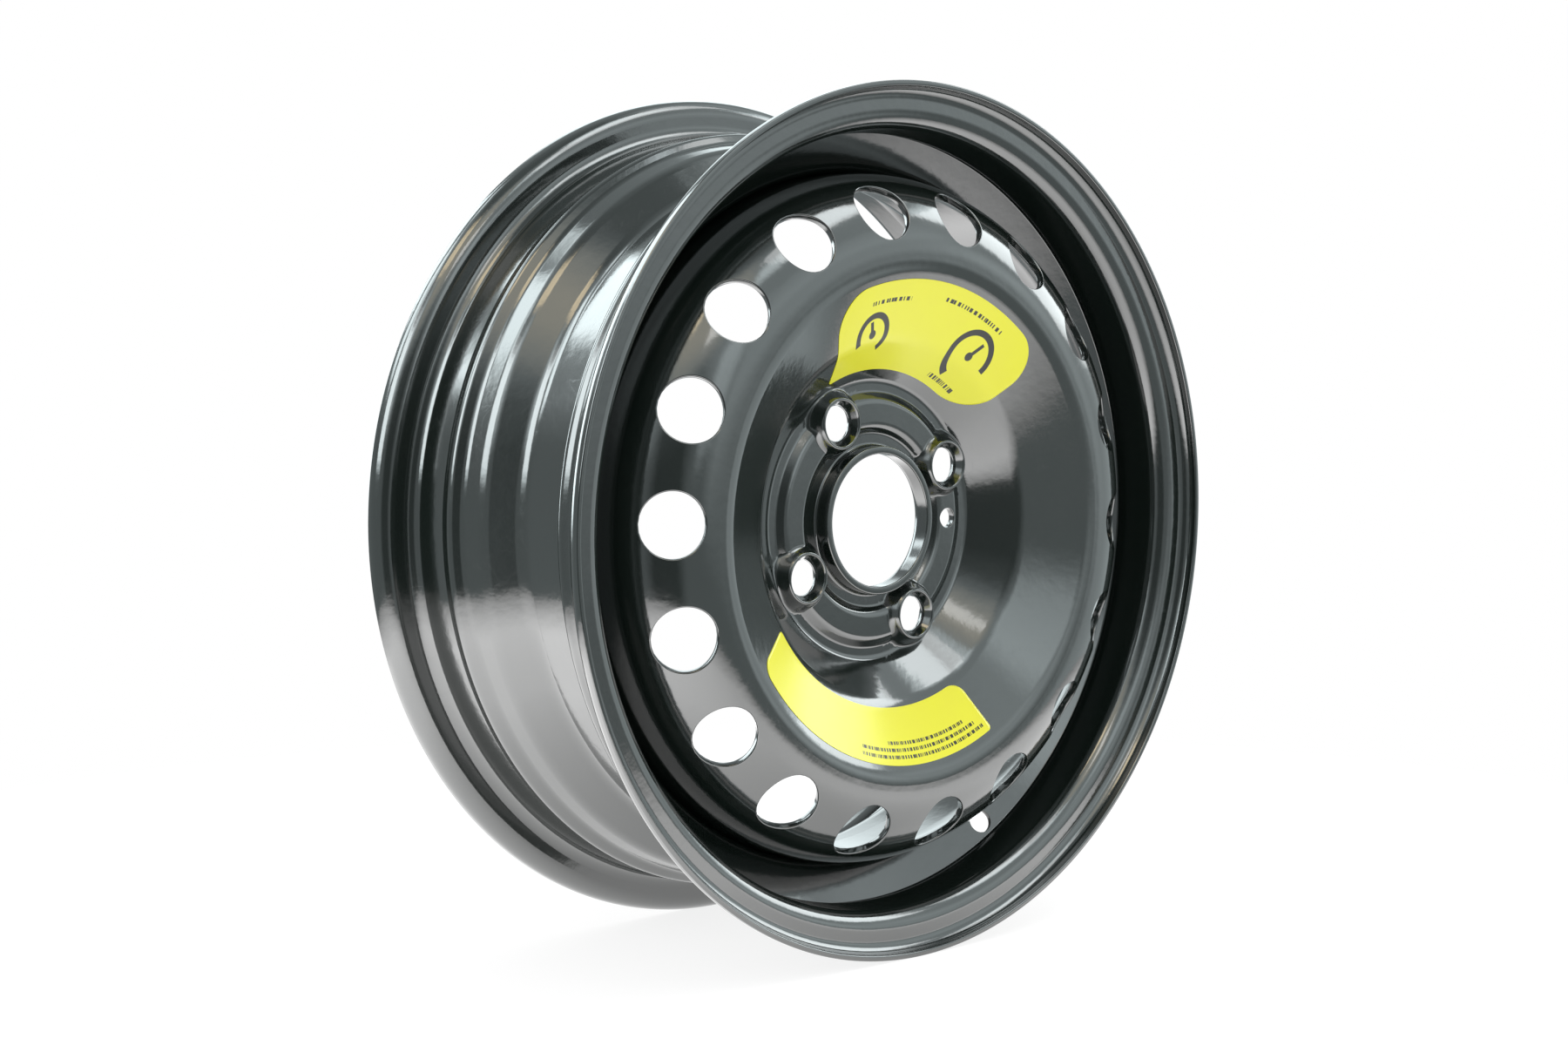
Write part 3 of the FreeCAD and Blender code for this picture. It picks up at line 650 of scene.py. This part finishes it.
def vinyl(name, print_on):
    """Glossy yellow vinyl with a faint grain; its print goes by millimetres, radius and degrees."""
    material, finish = new_finish(name)
    place = finish.node("ShaderNodeTexCoord", {}, {}, "Object")
    split = finish.node("ShaderNodeSeparateXYZ", {}, {"Vector": place})
    across, up = split * (1 / MM), split.other("Z") * (1 / MM)
    out = (across * across + up * up) ** 0.5
    angle = up.math("ARCTAN2", up, across) * (180 / math.pi)
    printed = print_on(across, up, out, angle)
    mottle, grain = finish.noise(place, 60.0, 4.0), finish.noise(place, 700.0, 2.0)
    ground = finish.blend(mottle.past(0.55, 0.3) * 0.5, YELLOW, YELLOW_WORN)
    sheen = 0.16 + grain * 0.1 + printed * 0.08
    height = mottle + grain * 0.2
    relief = finish.node("ShaderNodeBump", {}, {"Height": height, "Strength": 0.05, "Distance": 0.001})
    gloss = finish.node("ShaderNodeBsdfPrincipled", {}, {
        "Base Color": finish.blend(printed, ground, PRINT_DARK), "Roughness": sheen, "IOR": VINYL_IOR,
        "Normal": relief})
    finish.node("ShaderNodeOutputMaterial", {}, {"Surface": gloss})
    return material


upper_vinyl, lower_vinyl = vinyl("yellow_vinyl_upper", upper_print), vinyl("yellow_vinyl_lower", lower_print)
label_skin(**UPPER_LABEL).piece("upper_label_vinyl", upper_vinyl, "yellow_vinyl", "upper_label")
label_skin(**LOWER_LABEL).piece("lower_label_vinyl", lower_vinyl, "yellow_vinyl", "lower_label")

# Studio
# A round white sweep that the wheel stands on, in a room that is dim toward the camera and lighter overhead,
# with soft panels at the right, at the left and high in front.
SWEEP_RADIUS, SWEEP_SIDES = 0.62, 128
SWEEP_GREY = (0.30, 0.30, 0.30, 1)
SWEEP_SEEN, SWEEP_MIRRORED, SWEEP_PAINTED_LEFT_GLOW, SWEEP_BOUNCE = 0.82, 2.3, 4.2, 0.85
sweep_mesh = bpy.data.meshes.new("sweep")
floor_level = cad_box[0][2]
sweep_turns = 2 * math.pi / SWEEP_SIDES * np.arange(SWEEP_SIDES)
sweep_edge = [(SWEEP_RADIUS * math.cos(turn), SWEEP_RADIUS * math.sin(turn), floor_level)
              for turn in sweep_turns]
sweep_mesh.from_pydata(sweep_edge, [], [range(SWEEP_SIDES)])
sweep = bpy.data.objects.new("sweep", sweep_mesh)
bpy.context.collection.objects.link(sweep)
sweep_white, white = new_finish("sweep_white")
seen = white.node("ShaderNodeLightPath", {}, {}, "Is Camera Ray")
mirrored = seen.other("Is Glossy Ray")
spot = white.node("ShaderNodeTexCoord", {}, {}, "Object")
rightward = white.node("ShaderNodeSeparateXYZ", {}, {"Vector": spot})
inward = rightward.other("Y")
from_middle = (rightward * rightward + inward * inward) ** 0.5
# In the paint's reflections the sweep glows with painted light: it is brighter toward the left, carries a
# painted shadow round the wheel's foot, and is dimmer toward its edge.
painted_sweep_glow = SWEEP_MIRRORED - (rightward & 0) * SWEEP_PAINTED_LEFT_GLOW
painted_sweep_glow = painted_sweep_glow * (1 - from_middle.past(0.53, 0.22) * 0.85) * (0.55 + from_middle.past(0.16, 0.2) * 0.45)
lit = seen * SWEEP_SEEN + mirrored * painted_sweep_glow + (1 - (seen | mirrored)) * SWEEP_BOUNCE
paper = white.node("ShaderNodeBsdfDiffuse", {}, {"Color": SWEEP_GREY})
glow = white.node("ShaderNodeEmission", {}, {"Strength": lit})
ground = white.node("ShaderNodeAddShader", {}, {0: paper, 1: glow})
white.node("ShaderNodeOutputMaterial", {}, {"Surface": ground})
sweep_mesh.materials.append(sweep_white)

# The room, as the paint mirrors it: bearings run from the wheel's outboard side to its right, climbs from
# level to overhead, in degrees, and a radiance of 1 is paper white. The camera itself sees plain white.
ROOM_LIGHT = 0.8
PAPER_WHITE, COOL, WARM = (1, 1, 1, 1), (0.89, 1.0, 1.02, 1), (1, 0.78, 0.45, 1)
COOL_FIELDS = [
    (-173, 14, -2, 45, 4, 5.4),
    (-160, 11, 56, 63, 4, 3.2),
    (-135, 11, 24, 57, 5, 5.4),
    (-116, 7, 38, 54, 5, 2.8),
    (-97, 14, 9, 41, 4, 5.0),
    (-78, 8, 18, 50, 8, 1.4),
    (4, 9, 8, 30, 8, 1.3),
    (10, 10, 47, 56, 5, 2.0),
    (45, 22, 52, 70, 4, 2.3),
    (36, 22, 0, 26, 14, 0.9),
    (72, 22, -22, 12, 8, 0.6),
    (77, 14, 9, 41, 4, 2.7),
    (145, 13, 8, 36, 8, 2.0),
]
WARM_FIELDS = [
    (-74, 22, 54, 68, 4, 3.4),
    (-35, 30, 40, 62, 14, 0.8),
]
world = bpy.data.worlds.new("studio_room")
bpy.context.scene.world = world
world.use_nodes = True
room = Finish(world.node_tree)
path = room.node("ShaderNodeLightPath", {}, {}, "Is Camera Ray")
mirrored = path.other("Is Glossy Ray")
seen = path | path.other("Is Transmission Ray")
toward = room.node("ShaderNodeTexCoord", {}, {}, "Generated")
east = room.node("ShaderNodeSeparateXYZ", {}, {"Vector": toward})
north, above = east.other("Y"), east.other("Z")
compass = east.math("ARCTAN2", east, 0 - north) * (180 / math.pi)
climb = above.math("ARCSINE", above) * (180 / math.pi)


def field(bearing, half_across, low, high, soft, radiance=1):
    """A soft-edged field on the room's walls, by bearing and climb as seen from the wheel."""
    turned_away = compass.math("WRAP", compass - bearing, 180, -180)
    across = 1 - abs(turned_away).past(half_across, soft)
    return across * climb.past(low, soft) * (1 - climb.past(high, soft)) * radiance


overhead = climb.past(22, 16) * 0.65 - climb.past(68, 10) * 0.75
ceiling = 0.5 + overhead * (1 - field(150, 42, 0, 90, 16) * 0.8)
cool_walls = ceiling * (1 - field(-38, 21, -30, 32, 12) * 0.7)
for lighter in COOL_FIELDS:
    cool_walls = cool_walls + field(*lighter)
warm_walls = sum(field(*lighter) for lighter in WARM_FIELDS)
level = seen + mirrored * cool_walls + (1 - (seen | mirrored)) * ROOM_LIGHT
tint = room.blend(mirrored, PAPER_WHITE, COOL)
daylight = room.node("ShaderNodeBackground", {}, {"Color": tint, "Strength": level})
lamplight = room.node("ShaderNodeBackground", {}, {"Color": WARM, "Strength": mirrored * warm_walls})
air = room.node("ShaderNodeAddShader", {}, {0: daylight, 1: lamplight})
room.node("ShaderNodeOutputWorld", {}, {"Surface": air})

PANEL_DISTANCE = 2.2


def soft_panel(name, bearing, climb, degrees_across, degrees_up, radiance):
    """A soft light panel that faces the wheel: where it is seen from the wheel, and how far it spreads."""
    aside, up = math.radians(bearing), math.radians(climb)
    toward = Vector((math.sin(aside) * math.cos(up), -math.cos(aside) * math.cos(up), math.sin(up)))
    width = 2 * PANEL_DISTANCE * math.tan(math.radians(degrees_across / 2))
    height = 2 * PANEL_DISTANCE * math.tan(math.radians(degrees_up / 2))
    lamp = bpy.data.lights.new(name, "AREA")
    lamp.shape, lamp.size, lamp.size_y = "RECTANGLE", width, height
    lamp.energy = radiance * math.pi * width * height
    stand = bpy.data.objects.new(name, lamp)
    stand.location = PANEL_DISTANCE * toward
    stand.rotation_euler = (-toward).to_track_quat("-Z", "Y").to_euler()
    bpy.context.collection.objects.link(stand)


soft_panel("panel_overhead", 45, 61, 42, 18, 2.2)
soft_panel("panel_right", 77, 25, 28, 32, 2.0)
soft_panel("panel_left", -97, 28, 28, 34, 1.0)
soft_panel("panel_small", -22, 46, 14, 9, 2.4)

# Camera
# At the photograph's angle: a little above the axle, well round to the tyre side,
# with a lens a little longer than a standard one.
CAMERA_PLACE = (-0.84028, -0.89317, 0.08355)
CAMERA_DOWN, CAMERA_ROUND = 4.054, -42.697
LENS, SENSOR = 60.862, 36.0
camera = bpy.data.cameras.new("camera")
camera.lens, camera.sensor_width, camera.sensor_fit = LENS, SENSOR, "HORIZONTAL"
tripod = bpy.data.objects.new("camera", camera)
tripod.location = CAMERA_PLACE
tripod.rotation_euler = (math.radians(90 - CAMERA_DOWN), 0.0, math.radians(CAMERA_ROUND))
bpy.context.collection.objects.link(tripod)
bpy.context.scene.camera = tripod
bpy.context.scene.view_settings.view_transform = "Standard"
